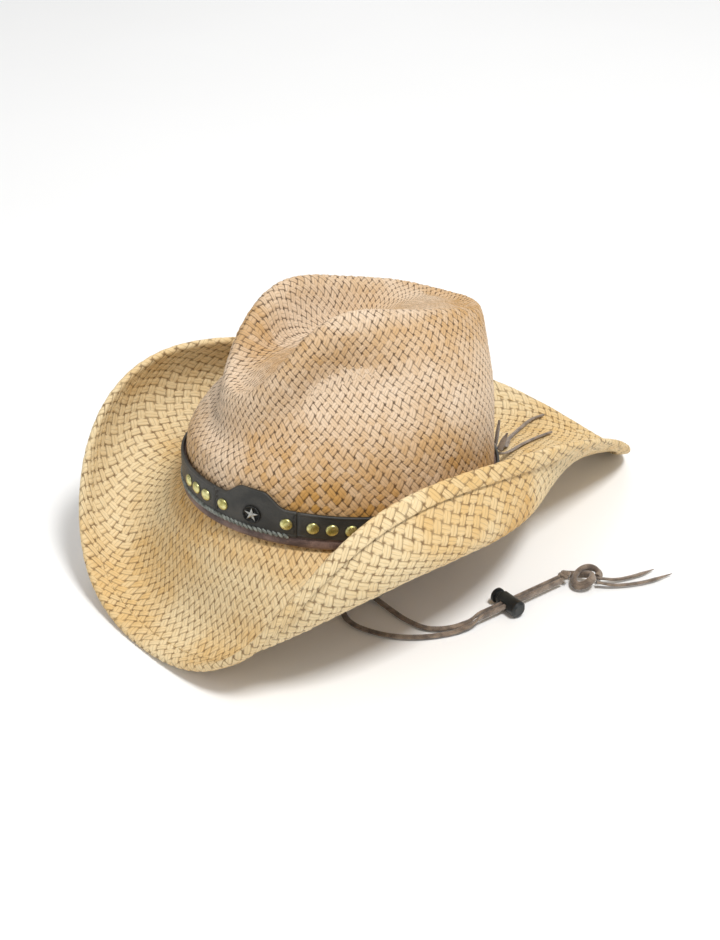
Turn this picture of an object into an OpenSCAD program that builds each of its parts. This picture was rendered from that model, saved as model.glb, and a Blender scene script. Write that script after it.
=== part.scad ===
// Western straw hat: a pinched crown and a rolled brim woven in one piece, with its
// hem wire, sweatband, studded leather hatband, back tie and chin laces.
// The front of the hat faces -Y, the wearer's left is +X, and the hem rests on z = 0.

/* [Head opening] */
// Length of the crown at the brim break, front to back
head_length = 210; // [204:1:216]
// Width of the crown at the brim break
head_width = 175; // [170:1:180]
// Mean height of the brim break above the table
break_height = 64; // [60:1:68]
// How much higher the front of the break is than its middle
break_tilt = 15; // [12:1:17]

/* [Straw] */
// Thickness of the woven straw
straw_thickness = 1.2; // [1:0.1:1.4]
// Depth of the folded hem
hem_depth = 9; // [7:0.5:11]
// Room in the hem fold for the wire
hem_gap = 2; // [1.8:0.1:2.4]
// Diameter of the brim wire
wire_diameter = 1.4; // [1:0.1:1.5]
// Height of the sweatband
sweatband_height = 32; // [26:1:38]
// Thickness of the sweatband
sweatband_thickness = 1; // [0.8:0.1:1.4]

/* [Hatband] */
// Angle of the concho round from the front, towards the wearer's left
concho_angle = 25; // [22:1:28]
// Height of the concho's centre above the brim break
concho_height = 18; // [16:1:20]
// Diameter of the concho
concho_diameter = 12; // [10:0.5:13]
// Height of the black straps' lower edge above the break
strap_bottom = 9.5; // [8.5:0.5:10]
// Height of the black straps' upper edge above the break
strap_top = 26; // [24:0.5:28]
// Height of the front plate's raised middle above the break
plate_top = 35; // [32:0.5:38]
// Half of the angle that the front plate covers
plate_half_angle = 16.5; // [15:0.5:18]
// Diameter of a domed stud
stud_diameter = 7.8; // [6:0.1:9]

/* [Chin laces] */
// Diameter of a round stand-in for the flat lace
lace_diameter = 3; // [2.6:0.1:3.2]
// Outside diameter of the cord lock
lock_diameter = 11; // [10.6:0.1:12]
// Place of the cord lock along Y on the laces
lock_place = 53; // [45:1:60]
// Travel of the cord lock's button
button_travel = 3; // [2:0.1:3]

/* [Hidden] */

straw_colour = "#e1c896";
band_black = "#323230";
band_brown = "#644b41";
lacing_grey = "#787d78";
brass_colour = "#aaa55a";
lace_colour = "#7d6e5f";
lock_black = "#232623";

// Shape of the rim, the break and the ridge, as sums of cosines or sines of the angle
// round the hat from the front: the first term is the size, the others bend it.
rim_across = [119, 14.2, 1.5];
rim_along = [9.3, -203, 38.9, -2.8, 0.8];
rim_height = [64.95, -5.8, -59.6, 0.9, -1, 5];
ridge_across = [35, 0, 1];
ridge_along = [9.5, -90.5, 1];
ridge_height = [182, 1, -17.5, -6.5, -1, 1, 1];
// A shaped brim is never quite even: these small terms differ from side to side
rim_shift = -3;
rim_along_lean = [0.6, 0.9, 1.9];
rim_height_lean = [0.2, -0.4, 0.9];
slope_at_break = [-15, -25, -18];
slope_at_rim = [60, 7, -67];
break_pull = 42;
rim_pull = 48;

// Side dents of the crown: angle, half width, row, half height and depth
dent_angle = 66;
dent_spread = 34;
dent_row = 2.15;
dent_rows = 0.5;
dent_depth = 21;

// Middle of the crease, where the weave starts
crown_middle = [0, 8, 171];

step = 5;
angles = [for (a = [0:step:360 - step]) a];
wall_rise = 38;
snug = 0.15;

function total(v, i = 0) = i < len(v) ? v[i] + total(v, i + 1) : 0;
function cosines(c, a) = total([for (k = [0:len(c) - 1]) c[k] * cos(k * a)]);
function sines(c, a) = total([for (k = [0:len(c) - 1]) c[k] * sin((k + 1) * a)]);
function unit(v) = v / norm(v);
function mix(a, b, f) = a * (1 - f) + b * f;

function break_point(a) = [
    head_width / 2 * sin(a), -head_length / 2 * cos(a), break_height + break_tilt * cos(a)];
function rim_point(a) = [
    rim_shift + sines(rim_across, a),
    cosines(rim_along, a) + sines(rim_along_lean, a),
    cosines(rim_height, a) + sines(rim_height_lean, a)];
function ridge_point(a) = [
    sines(ridge_across, a), cosines(ridge_along, a), cosines(ridge_height, a)];

// Horizontal direction straight out of the crown wall
function outward(a) = unit([sin(a) / head_width, -cos(a) / head_length, 0]);
function outward_turn(a) = atan2(outward(a)[0], -outward(a)[1]);
function sloped(a, slope) = outward(a) * cos(slope) + [0, 0, sin(slope)];

// The brim runs from the break (s = 0) to the rim (s = 1) as a cubic curve
function brim_point(a, s) =
    let (p0 = break_point(a), p3 = rim_point(a),
        p1 = p0 + break_pull * sloped(a, cosines(slope_at_break, a)),
        p2 = p3 - rim_pull * sloped(a, cosines(slope_at_rim, a)))
    pow(1 - s, 3) * p0 + 3 * s * pow(1 - s, 2) * p1 + 3 * s * s * (1 - s) * p2 + pow(s, 3) * p3;

// The crown runs from the break (t = 0) up the wall and over the rounded ridge (t = 3 to 4)
// down into the crease to its middle (t = 6), through seven stations on a smooth curve
function shoulder_point(a) =
    let (b = break_point(a), r = ridge_point(a), m = 0.27 + 0.2 * cos(a))
    [mix(86 * sin(a), r[0], m), mix(-102 * cos(a), r[1], m),
        mix(b[2], r[2], 0.66 - 0.03 * cos(a))];
function crease_point(a) =
    let (r = ridge_point(a))
    [0.42 * r[0], mix(8, r[1], 0.66), mix(r[2], 176 - 3 * cos(a), 0.9) - 3];
function stations(a) =
    let (b = break_point(a), r = ridge_point(a), o = outward(a))
    [b, [86 * sin(a), -103.5 * cos(a), b[2] + wall_rise], shoulder_point(a),
        r + 5 * o - [0, 0, 5], r - 7 * o - [0, 0, 2], crease_point(a), crown_middle];
function station(k, i) =
    i < 0 ? 2 * k[0] - k[1] : i > 6 ? 2 * k[6] - k[5] : k[i];
function smooth_through(k, t) =
    let (i = min(floor(t), len(k) - 2), f = t - i,
        p0 = station(k, i - 1), p1 = k[i], p2 = k[i + 1], p3 = station(k, i + 2))
    0.5 * (2 * p1 + (p2 - p0) * f + (2 * p0 - 5 * p1 + 4 * p2 - p3) * f * f
        + (3 * p1 - p0 - 3 * p2 + p3) * f * f * f);
function gap_from(a, b) = abs((a - b + 540) % 360 - 180);
function dent(a, t, middle) =
    exp(-pow(gap_from(a, middle) / dent_spread, 2) - pow((t - dent_row) / dent_rows, 2));
function crown_point(a, t) =
    smooth_through(stations(a), t)
    - outward(a) * dent_depth * (dent(a, t, dent_angle) + dent(a, t, -dent_angle));

// A point of the straw's upper face: u < 0 is the crown, u >= 0 the brim
function skin_point(a, u) = u < 0 ? crown_point(a, -u) : brim_point(a, u);
function skin_slope(a, u0, u1) =
    unit(cross(skin_point(a + 1, (u0 + u1) / 2) - skin_point(a - 1, (u0 + u1) / 2),
        skin_point(a, u1) - skin_point(a, u0)));
function skin_normal(a, u) =
    u == 0 ? -(skin_slope(a, 0.001, 0.03) + skin_slope(a, -0.1, -0.01))
        : u > 0 ? -skin_slope(a, u - 0.02, u + 0.02) : -skin_slope(a, u - 0.03, u + 0.03);

// A closed solid over sections of equal length; it closes on itself, or gets two ends
module sweep(sections, closed) {
    n = len(sections);
    m = len(sections[0]);
    points = [for (s = sections) each s];
    sides = [for (i = [0:(closed ? n - 1 : n - 2)]) for (j = [0:m - 1])
        let (i2 = (i + 1) % n, j2 = (j + 1) % m)
        each [[i * m + j, i2 * m + j, i2 * m + j2], [i * m + j, i2 * m + j2, i * m + j2]]];
    ends = closed ? [] : [[for (j = [0:m - 1]) j], [for (j = [m - 1:-1:0]) (n - 1) * m + j]];
    polyhedron(points, concat(sides, ends));
}

// A closed solid over rings stacked between two poles
module pole_solid(rings, first_pole, last_pole) {
    n = len(rings);
    m = len(rings[0]);
    points = concat([for (r = rings) each r], [first_pole, last_pole]);
    sides = [for (i = [0:n - 2]) for (j = [0:m - 1])
        let (j2 = (j + 1) % m)
        each [[i * m + j, (i + 1) * m + j2, (i + 1) * m + j], [i * m + j, i * m + j2, (i + 1) * m + j2]]];
    caps = [for (j = [0:m - 1])
        let (j2 = (j + 1) % m)
        each [[n * m, j2, j], [n * m + 1, (n - 1) * m + j, (n - 1) * m + j2]]];
    polyhedron(points, concat(sides, caps));
}

// A round tube along a list of points, with the ring turned across the route
function heading(path, i) = unit(path[min(i + 1, len(path) - 1)] - path[max(i - 1, 0)]);
function ring(at, along, r, sides) =
    let (across = unit(cross(along, abs(along[2]) > 0.9 ? [1, 0, 0] : [0, 0, 1])),
        up = cross(across, along))
    [for (k = [0:sides - 1])
        at + r * (across * cos(k * 360 / sides) - up * sin(k * 360 / sides))];
module tube(path, d, sides = 8) {
    sweep([for (i = [0:len(path) - 1]) ring(path[i], heading(path, i), d / 2, sides)], false);
}

// A smooth route through hand-set points, with a few rings between each pair
function route_point(p, i, f) =
    let (a = p[max(i - 1, 0)], b = p[i], c = p[i + 1], d = p[min(i + 2, len(p) - 1)])
    0.5 * (2 * b + (c - a) * f + (2 * a - 5 * b + 4 * c - d) * f * f
        + (3 * b - a - 3 * c + d) * f * f * f);
function route(p, parts) =
    concat([for (i = [0:len(p) - 2]) for (k = [0:parts - 1]) route_point(p, i, k / parts)],
        [p[len(p) - 1]]);

// Straw: the crown and the brim are woven as one, and are two solids that meet at the
// break. The brim's edge is folded under, round its wire.
crown_rows = [-5.5, -5, -4.6, -4.3, -4, -3.75, -3.5, -3.25, -3, -2.75, -2.5, -2.2, -1.9, -1.6,
    -1.25, -0.85, -0.4, 0];
brim_rows = [0, 0.12, 0.25, 0.38, 0.5, 0.62, 0.74, 0.86, 0.94];
hem_total = 2 * straw_thickness + hem_gap;

function reversed(v) = [for (i = [len(v) - 1:-1:0]) v[i]];
function inner_point(a, u) = skin_point(a, u) - straw_thickness * skin_normal(a, u);
function rim_out(a) = unit(brim_point(a, 1) - brim_point(a, 0.97));
function rim_up(a) = skin_normal(a, 0.98);
function hem_point(a, out, down) = rim_point(a) + rim_out(a) * out - rim_up(a) * down;

module straw_crown() {
    outer = [for (u = crown_rows) [for (a = angles) skin_point(a, u)]];
    inner = [for (u = reversed(crown_rows)) [for (a = angles) inner_point(a, u)]];
    color(straw_colour)
    pole_solid(concat(outer, inner), crown_middle, crown_middle - [0, 0, straw_thickness]);
}

module straw_brim() {
    fold = [[-1, 0], [1.6, 0.9], [2, hem_total / 2], [1.6, hem_total - 0.9], [-1, hem_total],
        [-hem_depth, hem_total], [-hem_depth, straw_thickness + hem_gap],
        [-0.6, straw_thickness + hem_gap], [0.4, hem_total / 2], [-0.6, straw_thickness]];
    color(straw_colour)
    sweep([for (a = angles) concat(
        [for (u = brim_rows) skin_point(a, u)],
        [for (q = fold) hem_point(a, q[0], q[1])],
        [for (u = reversed(brim_rows)) inner_point(a, u)])], true);
}

function wire_point(a) = hem_point(a, -1.5, hem_total / 2);

module brim_wire() {
    color("silver")
    sweep([for (a = angles)
        ring(wire_point(a), unit(wire_point(a + 1) - wire_point(a - 1)), wire_diameter / 2, 6)],
        true);
}

module wire_ferrule() {
    path = [wire_point(177.5), wire_point(180), wire_point(182.5)];
    color("gray")
    difference() {
        tube(path, wire_diameter + 0.5, 8);
        tube([2 * path[0] - path[1], path[1], 2 * path[2] - path[1]], wire_diameter + 0.1, 8);
    }
}

// A straight thread stitch laid between two points
module stitch(from, to, width) {
    run = to - from;
    translate(from)
    rotate([0, -atan2(run[2], norm([run[0], run[1]])), atan2(run[1], run[0])])
    translate([0, -width / 2, 0])
    cube([norm(run), width, width]);
}

module hem_stitching() {
    color("#cdb482")
    for (a = [1.25:2.5:359]) {
        lift = skin_normal(a, 0.92) * 0.45;
        stitch(brim_point(a - 0.7, 0.92) + lift, brim_point(a + 0.7, 0.92) + lift, 0.5);
    }
}

// A point of the crown wall, a height above the break and a distance out of the wall
function wall_point(a, up, out) = crown_point(a, up / wall_rise) + outward(a) * out;
function wall_section(a, profile) = [for (q = profile) wall_point(a, q[1], q[0])];

module sweatband() {
    face = -straw_thickness * 1.25 - snug;
    back = face - sweatband_thickness;
    profile = [[back, 1], [back, sweatband_height], [face, sweatband_height], [face, 1]];
    color("#b09878")
    sweep([for (a = angles) wall_section(a, profile)], true);
}

module sweatband_stitching() {
    depth = -straw_thickness * 1.25 - snug - sweatband_thickness - 0.5;
    color("#e6dcc8")
    for (a = [2.5:5:358]) {
        stitch(wall_point(a - 1.2, 3, depth), wall_point(a + 1.2, 3, depth), 0.4);
    }
}

// Hatband: a brown base strap with a rolled foot, and black leather laid over it
base_face = 1.9;
leather_back = base_face + snug;
leather_face = leather_back + 1.8;

module base_strap() {
    profile = [[snug, 2.2], [2.6, 2], [3.6, 3], [3.7, 5], [3, 7.4], [base_face, 9],
        [base_face, strap_top - 2], [snug, strap_top - 2]];
    color(band_brown)
    sweep([for (a = angles) wall_section(a, [for (i = [7:-1:0]) profile[i]])], true);
}

function leather_section(a, low, high) = wall_section(a,
    [[leather_back, high], [leather_face - 0.4, high], [leather_face, high - 0.5],
        [leather_face, low + 0.5], [leather_face - 0.4, low], [leather_back, low]]);

seam = 0.15;
plate_left = concho_angle + plate_half_angle;
plate_right = concho_angle - plate_half_angle;
tie_angle = 165;
tie_half = 4;

module side_strap_left() {
    turns = [for (k = [0:24]) mix(plate_left + seam, tie_angle - tie_half, k / 24)];
    color(band_black)
    sweep([for (a = turns) leather_section(a, strap_bottom, strap_top)], false);
}

module side_strap_right() {
    turns = [for (k = [0:36]) mix(tie_angle + tie_half - 360, plate_right - seam, k / 36)];
    color(band_black)
    sweep([for (a = turns) leather_section(a, strap_bottom, strap_top)], false);
}

// The plate's upper edge stays level, rises in an S, and is flat round the concho
function smooth_step(x) = let (f = min(max(x, 0), 1)) f * f * (3 - 2 * f);
function plate_edge(a) =
    mix(strap_top, plate_top, smooth_step((12.5 - abs(a - concho_angle)) / 8.5));

module front_plate() {
    turns = [for (k = [0:22]) mix(plate_right, plate_left, k / 22)];
    color(band_black)
    sweep([for (a = turns) leather_section(a, strap_bottom - 1, plate_edge(a))], false);
}

lacing_from = -65;
lacing_to = 38;
lacing_pitch = 2.2;

module edge_lacing() {
    color(lacing_grey)
    for (a = [lacing_from:lacing_pitch:lacing_to]) {
        low = wall_point(a, strap_bottom - 3, leather_face + 0.8);
        high = wall_point(a + 1.7, strap_bottom + 0.8, leather_face + 0.75);
        run = high - low;
        translate(low)
        rotate([0, acos(run[2] / norm(run)), atan2(run[1], run[0])])
        cylinder(h = norm(run), d = 1.5, $fn = 8);
    }
}

// Moves its children onto the band, with +Z pointing straight out of the crown
module on_band(a, up, out) {
    translate(wall_point(a, up, out))
    rotate([0, 0, outward_turn(a)])
    rotate([90, 0, 0])
    children();
}

module star(r, height) {
    linear_extrude(height)
    polygon([for (k = [0:9]) (k % 2 == 0 ? r : 0.42 * r) * [sin(36 * k), cos(36 * k)]]);
}

module concho() {
    r = concho_diameter / 2;
    color("#4a4a48")
    on_band(concho_angle, concho_height, leather_face + 0.1) {
        cylinder(h = 0.8, r = r, $fn = 48);
        rotate_extrude($fn = 48)
        translate([r - 1, 0])
        square([1, 1.7]);
        star(r - 1.1, 1.6);
    }
}

module concho_post() {
    color("gray")
    on_band(concho_angle, concho_height, snug + 0.1)
    cylinder(h = leather_face - snug - 0.1, d = 3, $fn = 24);
}

// Studs: one each side of the concho on the plate, then three on each side strap
stud_offsets = [12.8, 22, 28.5, 35];
module at_studs(out) {
    for (side = [-1, 1], offset = stud_offsets) {
        on_band(concho_angle + side * offset, 17, out) children();
    }
}

module studs() {
    r = stud_diameter / 2;
    color(brass_colour)
    at_studs(leather_face + 0.15)
    rotate_extrude($fn = 32)
    polygon(concat([[0, 0], [r, 0]], [for (k = [0:6]) [r * cos(15 * k), 0.3 + 1.5 * sin(15 * k)]]));
}

module stud_prongs() {
    color(brass_colour)
    at_studs(base_face - 0.8)
    for (side = [-1, 1]) {
        translate([side * (stud_diameter / 2 - 0.8) - 0.3, -0.6, 0])
        cube([0.6, 1.2, leather_face - base_face + 0.9]);
    }
}

module plate_stitches() {
    color("#5a5a55")
    for (a = [plate_left - 0.9, plate_right + 0.9], up = [12, 15.5, 19, 22.5]) {
        stitch(wall_point(a, up, leather_face + 0.35), wall_point(a, up + 2, leather_face + 0.35), 0.5);
    }
}

// Back tie: a knot over the gap between the side straps, two tails and two leaf tips
knot_place = wall_point(tie_angle, 14, leather_face + 2.6);
tail_diameter = 2.6;
function on_brim(a, s) = brim_point(a, s) + skin_normal(a, s) * 1.9;
tail_curved = [knot_place + [-1, 3, -1], [17, 121, 57.5], [8, 131, 50.5], on_brim(180, 0.27),
    on_brim(187.5, 0.38), on_brim(195, 0.53), on_brim(200.5, 0.67), on_brim(203.5, 0.81),
    on_brim(203, 0.9)];
tail_straight = [knot_place + [2, 3, -3], [22.5, 120, 55], [15, 130.5, 49], on_brim(176.5, 0.28),
    on_brim(181, 0.38), on_brim(188.5, 0.56), on_brim(194, 0.74)];

module tie_knot() {
    color(lace_colour)
    hull() {
        for (p = [[-2.5, 0, 2.5], [2.5, 0, -3], [0, 1.2, 0]]) {
            translate(knot_place + p) sphere(r = 3.4, $fn = 16);
        }
    }
}

module tie_tail_curved() {
    color(lace_colour) tube(route(tail_curved, 3), tail_diameter);
}

module tie_tail_straight() {
    color(lace_colour) tube(route(tail_straight, 3), tail_diameter);
}

module leaf(from, turn, rise, length, width) {
    translate(from)
    rotate([0, -rise, turn])
    rotate([90, 0, 0])
    linear_extrude(1.6, center = true)
    polygon([[0, -width / 4], [length * 0.45, -width / 2], [length, 0], [length * 0.45, width / 2],
        [0, width / 4]]);
}

module tie_leaf_tips() {
    color(lace_colour) {
        leaf(knot_place + [0, 3.4, 3], 125, 50, 17, 4.5);
        leaf(knot_place + [4, 3.2, 0], 100, 50, 13, 6.5);
    }
}

// Chin laces: each leaves a sewn anchor inside the sweatband, drops to the table and
// comes out from under the brim; both pass through the lock and end in one knot
anchor_up = 12;
anchor_out = -straw_thickness * 1.25 - snug - sweatband_thickness - 1.4;
lace_x = 106;
lace_gap = 1.75;
lock_z = lock_diameter / 2 + 0.2;
straight_from = 28;
straight_to = 99;
anchor_foot_left = wall_point(90, anchor_up - 5, anchor_out);
anchor_foot_right = wall_point(270, anchor_up - 5, anchor_out);
left_route = [anchor_foot_left, [78, -6, 46], [66, -13, 25], [54, -15, 10], [44, -14, 3],
    [38, -19, 1.9], [39, -28, 1.9], [46, -35, 1.9], [56, -38, 1.9], [68, -36, 1.9],
    [84, -27, 1.9],
    [97, -12, 1.9], [105, 6, 1.9], [lace_x + lace_gap, 19, 3.6],
    [lace_x + lace_gap, straight_from, lock_z]];
right_route = [anchor_foot_right, [-77, 0, 44], [-66, -1, 20], [-48, -3, 4.5], [-28, -5, 1.9],
    [-2, -7, 1.9], [22, -9, 1.9], [38, -9, 1.9], [50, -9, 1.9], [62, -9, 1.9],
    [78, -8, 1.9], [92, -3, 1.9],
    [100, 8, 2], [lace_x - lace_gap, 19, 3.8], [lace_x - lace_gap, straight_from, lock_z]];

module lace_anchor(a) {
    color("#8c7a68")
    on_band(a, anchor_up - 5, anchor_out - 1.15)
    translate([-5, 0, 0])
    cube([10, 12, 2.3]);
}

module lace_anchor_left() {
    lace_anchor(90);
}

module lace_anchor_right() {
    lace_anchor(270);
}

module chin_lace(points, x) {
    color(lace_colour)
    tube(concat(route(points, 3),
        [[x, 46, lock_z], [x, 64, lock_z], [x, 82, lock_z], [x, straight_to, lock_z]]),
        lace_diameter);
}

module chin_lace_left() {
    chin_lace(left_route, lace_x + lace_gap);
}

module chin_lace_right() {
    chin_lace(right_route, lace_x - lace_gap);
}

module chin_knot() {
    color(lace_colour)
    hull() {
        for (p = [[lace_x, 103, 6.2], [lace_x + 8, 108, 6.6], [lace_x + 2, 115, 6.2],
                [lace_x + 12, 117, 6]]) {
            translate(p) sphere(r = 5.4, $fn = 20);
        }
    }
}

tail_short_route = [[lace_x + 13, 119, 5], [125, 131, 2.4], [129, 145, 1.9], [131, 160, 1.9]];
tail_long_route = [[lace_x + 16, 116, 4.6], [130, 127, 2.2], [138, 145, 1.9], [142, 166, 1.9]];

module chin_lace_tails() {
    color(lace_colour) {
        tube(route(tail_short_route, 2), lace_diameter - 0.4);
        tube(route(tail_long_route, 2), lace_diameter - 0.4);
    }
}

// Cord lock: a barrel with a cross slot for both laces, and a sprung button inside it
slot_long = 7;
slot_high = 4.6;
barrel_from = -6.5;
barrel_to = 11;
bore = 7.8;
stem = 7.2;
bore_end = barrel_to - 1.3;
stem_end = bore_end - button_travel - 1.9;
head_from = barrel_from - button_travel - 3;

// Moves its children to the lock, with +Z along the lock's axis, towards +X
module on_lock() {
    translate([lace_x, lock_place, lock_z])
    rotate([0, 90, 0])
    children();
}

module cross_slot(from, to) {
    translate([-slot_high / 2, -lock_diameter, from])
    cube([slot_high, 2 * lock_diameter, to - from]);
}

module lock_barrel() {
    r = lock_diameter / 2;
    color(lock_black)
    on_lock()
    difference() {
        rotate_extrude($fn = 64)
        polygon([[0, barrel_from], [r - 0.5, barrel_from], [r, barrel_from + 0.5],
            [r, barrel_to - 1.5], [r - 1.5, barrel_to], [0, barrel_to]]);
        translate([0, 0, barrel_from - 1])
        cylinder(h = bore_end - barrel_from + 1, d = bore, $fn = 64);
        cross_slot(-slot_long / 2, slot_long / 2);
    }
}

module lock_button() {
    r = lock_diameter / 2 - 0.4;
    color(lock_black)
    on_lock()
    difference() {
        union() {
            translate([0, 0, head_from + 2])
            cylinder(h = stem_end - head_from - 2, d = stem, $fn = 64);
            rotate_extrude($fn = 64)
            polygon([[0, head_from], [r - 0.8, head_from], [r, head_from + 0.8],
                [r, head_from + 2.7], [0, head_from + 2.7]]);
        }
        cross_slot(-slot_long / 2 - button_travel, slot_long / 2 - 0.1);
    }
}

module lock_spring() {
    turns = 2.5;
    wire = 0.45;
    length = 1.5;
    color("silver")
    on_lock()
    tube([for (k = [0:30])
        let (f = k / 30)
        [2.8 * cos(360 * turns * f), 2.8 * sin(360 * turns * f),
            bore_end - 0.05 - wire / 2 - f * (length - wire)]], wire, 6);
}

straw_crown();
straw_brim();
brim_wire();
wire_ferrule();
hem_stitching();
sweatband();
sweatband_stitching();
base_strap();
side_strap_left();
side_strap_right();
front_plate();
edge_lacing();
concho();
concho_post();
studs();
stud_prongs();
plate_stitches();
tie_knot();
tie_tail_curved();
tie_tail_straight();
tie_leaf_tips();
lace_anchor_left();
lace_anchor_right();
chin_lace_left();
chin_lace_right();
chin_knot();
chin_lace_tails();
lock_barrel();
lock_button();
lock_spring();
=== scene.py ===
import math

import bmesh
import bpy
import numpy as np
from mathutils import Matrix, Vector


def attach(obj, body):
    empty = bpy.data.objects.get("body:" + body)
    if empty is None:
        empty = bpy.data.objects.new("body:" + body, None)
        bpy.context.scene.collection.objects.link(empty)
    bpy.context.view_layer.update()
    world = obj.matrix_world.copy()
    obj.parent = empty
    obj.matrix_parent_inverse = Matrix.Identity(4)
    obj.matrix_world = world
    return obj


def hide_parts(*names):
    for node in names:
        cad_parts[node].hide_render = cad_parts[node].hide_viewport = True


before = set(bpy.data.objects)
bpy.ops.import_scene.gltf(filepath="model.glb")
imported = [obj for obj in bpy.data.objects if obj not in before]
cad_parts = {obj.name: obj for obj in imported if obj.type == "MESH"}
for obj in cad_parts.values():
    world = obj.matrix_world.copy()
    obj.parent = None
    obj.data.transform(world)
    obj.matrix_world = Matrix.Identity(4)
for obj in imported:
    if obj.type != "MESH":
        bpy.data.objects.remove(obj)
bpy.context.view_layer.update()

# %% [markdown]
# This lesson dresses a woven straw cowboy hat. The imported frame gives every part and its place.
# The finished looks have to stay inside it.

MM = 0.001

# %% [markdown]
# The camera looks from the front left of the hat, a little above it. Its direction is written as
# two angles, so the same numbers can be read off a protractor.

# %% Camera
AZIMUTH, ELEVATION, DISTANCE = math.radians(53), math.radians(31), 1.140
TARGET = Vector((0, 0, 0.064))
FOCAL, LONG_SIDE, WIDE, HIGH = 1746.5, 940, 720, 940
SEEN_AT = (343.8, 483.0)

camera_data = bpy.data.cameras.new("camera")
camera = bpy.data.objects.new("camera", camera_data)
bpy.context.collection.objects.link(camera)
towards = Vector((
    math.cos(ELEVATION) * math.sin(AZIMUTH),
    -math.cos(ELEVATION) * math.cos(AZIMUTH),
    math.sin(ELEVATION)))
camera.location = TARGET + towards * DISTANCE
camera.rotation_euler = (-towards).to_track_quat("-Z", "Y").to_euler()
camera_data.sensor_width = 36
camera_data.lens = FOCAL * 36 / LONG_SIDE
camera_data.shift_x = (WIDE / 2 - SEEN_AT[0]) / LONG_SIDE
camera_data.shift_y = (SEEN_AT[1] - HIGH / 2) / LONG_SIDE
bpy.context.scene.camera = camera
bpy.context.scene.view_settings.view_transform = "Standard"
print("lens", round(camera_data.lens, 1), "mm")

# %% [markdown]
# The hat's two surfaces are formulas: the crown is a smooth curve through seven stations, and the
# brim is a Bezier from the break to the rim. The same formulas made the frame, so a piece that is
# laid on them lands where it belongs. Angles go round from the front, towards the wearer's left.

# %% Surface formulas, in millimetres
HEAD_LENGTH, HEAD_WIDTH, BREAK_HEIGHT, BREAK_TILT = 210, 175, 64, 15
STRAW, WALL_RISE = 1.2, 38
RIM_ACROSS, RIM_ALONG = [119, 14.2, 1.5], [9.3, -203, 38.9, -2.8, 0.8]
RIM_HEIGHT = [64.95, -5.8, -59.6, 0.9, -1, 5]
RIM_SHIFT, RIM_ALONG_LEAN, RIM_HEIGHT_LEAN = -3, [0.6, 0.9, 1.9], [0.2, -0.4, 0.9]
RIDGE_ACROSS, RIDGE_ALONG = [35, 0, 1], [9.5, -90.5, 1]
RIDGE_HEIGHT = [182, 1, -17.5, -6.5, -1, 1, 1]
SLOPE_AT_BREAK, SLOPE_AT_RIM, BREAK_PULL, RIM_PULL = [-15, -25, -18], [60, 7, -67], 42, 48
DENT_ANGLE, DENT_SPREAD, DENT_ROW, DENT_ROWS, DENT_DEPTH = 66, 34, 2.15, 0.5, 21
CROWN_MIDDLE = np.array([0, 8, 171.0])


def cosd(a):
    return np.cos(np.radians(a))


def sind(a):
    return np.sin(np.radians(a))


def cosines(terms, a):
    return sum(v * cosd(k * a) for k, v in enumerate(terms))


def sines(terms, a):
    return sum(v * sind((k + 1) * a) for k, v in enumerate(terms))


def vec(x, y, z):
    return np.stack(np.broadcast_arrays(x, y, z), -1).astype(float)


def unit(v):
    return v / np.linalg.norm(v, axis=-1, keepdims=True)


def mix(a, b, f):
    return a * (1 - f) + b * f


def break_point(a):
    return vec(HEAD_WIDTH / 2 * sind(a), -HEAD_LENGTH / 2 * cosd(a),
               BREAK_HEIGHT + BREAK_TILT * cosd(a))


def rim_point(a):
    return vec(RIM_SHIFT + sines(RIM_ACROSS, a),
               cosines(RIM_ALONG, a) + sines(RIM_ALONG_LEAN, a),
               cosines(RIM_HEIGHT, a) + sines(RIM_HEIGHT_LEAN, a))


def outward(a):
    return unit(vec(sind(a) / HEAD_WIDTH, -cosd(a) / HEAD_LENGTH, 0 * a))


def sloped(a, slope):
    return outward(a) * cosd(slope)[..., None] + vec(0 * a, 0 * a, sind(slope))


def brim_point(a, s):
    a, s = np.broadcast_arrays(np.asarray(a, float), np.asarray(s, float))
    p0, p3 = break_point(a), rim_point(a)
    p1 = p0 + BREAK_PULL * sloped(a, cosines(SLOPE_AT_BREAK, a))
    p2 = p3 - RIM_PULL * sloped(a, cosines(SLOPE_AT_RIM, a))
    s = s[..., None]
    return (1 - s) ** 3 * p0 + 3 * s * (1 - s) ** 2 * p1 + 3 * s * s * (1 - s) * p2 + s ** 3 * p3


def stations(a):
    b = break_point(a)
    r = vec(sines(RIDGE_ACROSS, a), cosines(RIDGE_ALONG, a), cosines(RIDGE_HEIGHT, a))
    out, up = outward(a), np.array([0, 0, 1.0])
    m = 0.27 + 0.2 * cosd(a)
    wall = vec(86 * sind(a), -103.5 * cosd(a), b[..., 2] + WALL_RISE)
    shoulder = vec(mix(86 * sind(a), r[..., 0], m), mix(-102 * cosd(a), r[..., 1], m),
                   mix(b[..., 2], r[..., 2], 0.66 - 0.03 * cosd(a)))
    crease = vec(0.42 * r[..., 0], mix(8, r[..., 1], 0.66),
                 mix(r[..., 2], 176 - 3 * cosd(a), 0.9) - 3)
    middle = np.broadcast_to(CROWN_MIDDLE, b.shape)
    return [b, wall, shoulder, r + 5 * out - 5 * up, r - 7 * out - 2 * up, crease, middle]


def gap_from(a, b):
    return np.abs((a - b + 540) % 360 - 180)


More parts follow.
